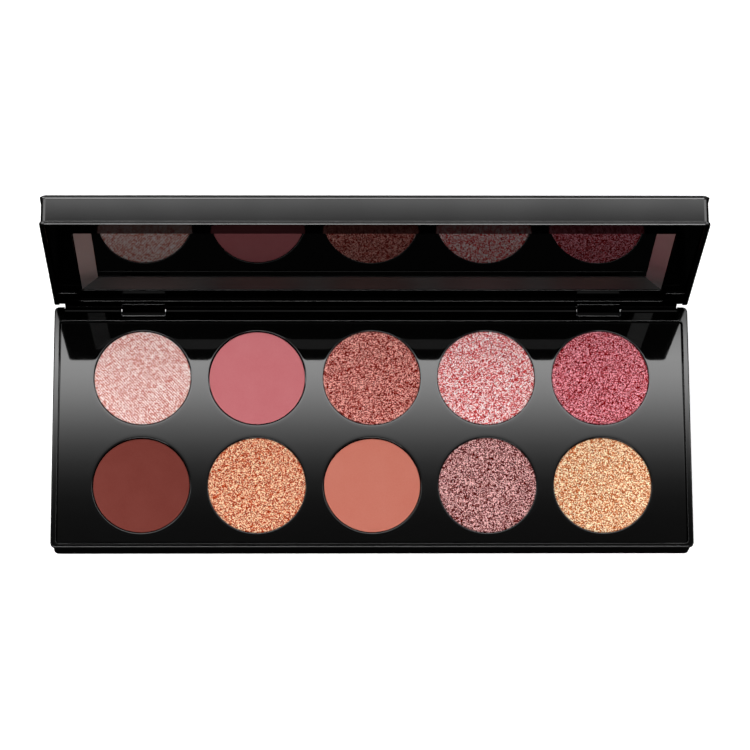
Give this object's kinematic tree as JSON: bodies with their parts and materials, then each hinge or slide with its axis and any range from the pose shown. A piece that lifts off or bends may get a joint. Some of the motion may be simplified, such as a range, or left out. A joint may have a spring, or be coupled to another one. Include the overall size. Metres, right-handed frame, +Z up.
{
  "type": "eyeshadow palette",
  "caption": "Slim rectangular black eyeshadow palette with rows of round pressed powder pans and a hinged lid that holds a bevelled mirror.",
  "frame": {"origin": "centre of the base's flat underside, on the surface that the palette lies on", "axes": "+X along the hinge, to the right as seen from the front; +Y from the front edge towards the hinge; +Z up"},
  "size_m": [0.18, 0.0817, 0.0774],
  "materials": {
    "case_black": "polished black moulded plastic",
    "tray_black": "mirror-polished black moulded plastic",
    "frame_black": "polished black moulded plastic",
    "hinge_pin_steel": "drawn steel wire",
    "magnet_nickel": "nickel plated",
    "pan_tinplate": "pressed sheet, black lacquer",
    "pan_glue": "set adhesive, satin",
    "mirror_glass": "flat silvered glass with bevelled edges",
    "foam_tape": "soft foam",
    "label_vinyl": "plain matt film, no text",
    "pale_pink_satin": "pressed satin powder with a fine pearl shimmer, pale pink",
    "rose_matte": "pressed matte powder, rose",
    "copper_glitter": "pressed glitter, copper brown with bright flakes",
    "pink_gold_glitter": "pressed glitter, pink with gold flakes",
    "crimson_glitter": "pressed glitter, crimson rose",
    "brick_matte": "pressed matte powder, brick brown",
    "orange_gold_glitter": "pressed glitter, orange gold",
    "terracotta_matte": "pressed matte powder, terracotta",
    "mauve_glitter": "pressed glitter, mauve brown with silver flakes",
    "champagne_glitter": "pressed glitter, champagne gold"
  },
  "bodies": {
    "base": {"base_shell": "case_black", "underside_label": "label_vinyl", "pan_tray": "tray_black", "hinge_pin_left": "hinge_pin_steel", "hinge_pin_right": "hinge_pin_steel", "base_magnet_left": "magnet_nickel", "base_magnet_right": "magnet_nickel", "pan_glue_01": "pan_glue", "pan_glue_02": "pan_glue", "pan_glue_03": "pan_glue", "pan_glue_04": "pan_glue", "pan_glue_05": "pan_glue", "pan_glue_06": "pan_glue", "pan_glue_07": "pan_glue", "pan_glue_08": "pan_glue", "pan_glue_09": "pan_glue", "pan_glue_10": "pan_glue", "pan_01": "pan_tinplate", "pan_02": "pan_tinplate", "pan_03": "pan_tinplate", "pan_04": "pan_tinplate", "pan_05": "pan_tinplate", "pan_06": "pan_tinplate", "pan_07": "pan_tinplate", "pan_08": "pan_tinplate", "pan_09": "pan_tinplate", "pan_10": "pan_tinplate", "powder_cake_01": "pale_pink_satin", "powder_cake_02": "rose_matte", "powder_cake_03": "copper_glitter", "powder_cake_04": "pink_gold_glitter", "powder_cake_05": "crimson_glitter", "powder_cake_06": "brick_matte", "powder_cake_07": "orange_gold_glitter", "powder_cake_08": "terracotta_matte", "powder_cake_09": "mauve_glitter", "powder_cake_10": "champagne_glitter"},
    "lid": {"lid_shell": "case_black", "mirror_frame": "frame_black", "mirror": "mirror_glass", "mirror_tape": "foam_tape", "lid_magnet_left": "magnet_nickel", "lid_magnet_right": "magnet_nickel"}
  },
  "joints": [
    {"name": "lid_hinge", "type": "hinge", "parent": "base", "child": "lid", "pos_m": [0, 0.0333, 0.0093], "axis": [1, 0, 0], "range_deg": [-5, 92.5]}
  ]
}
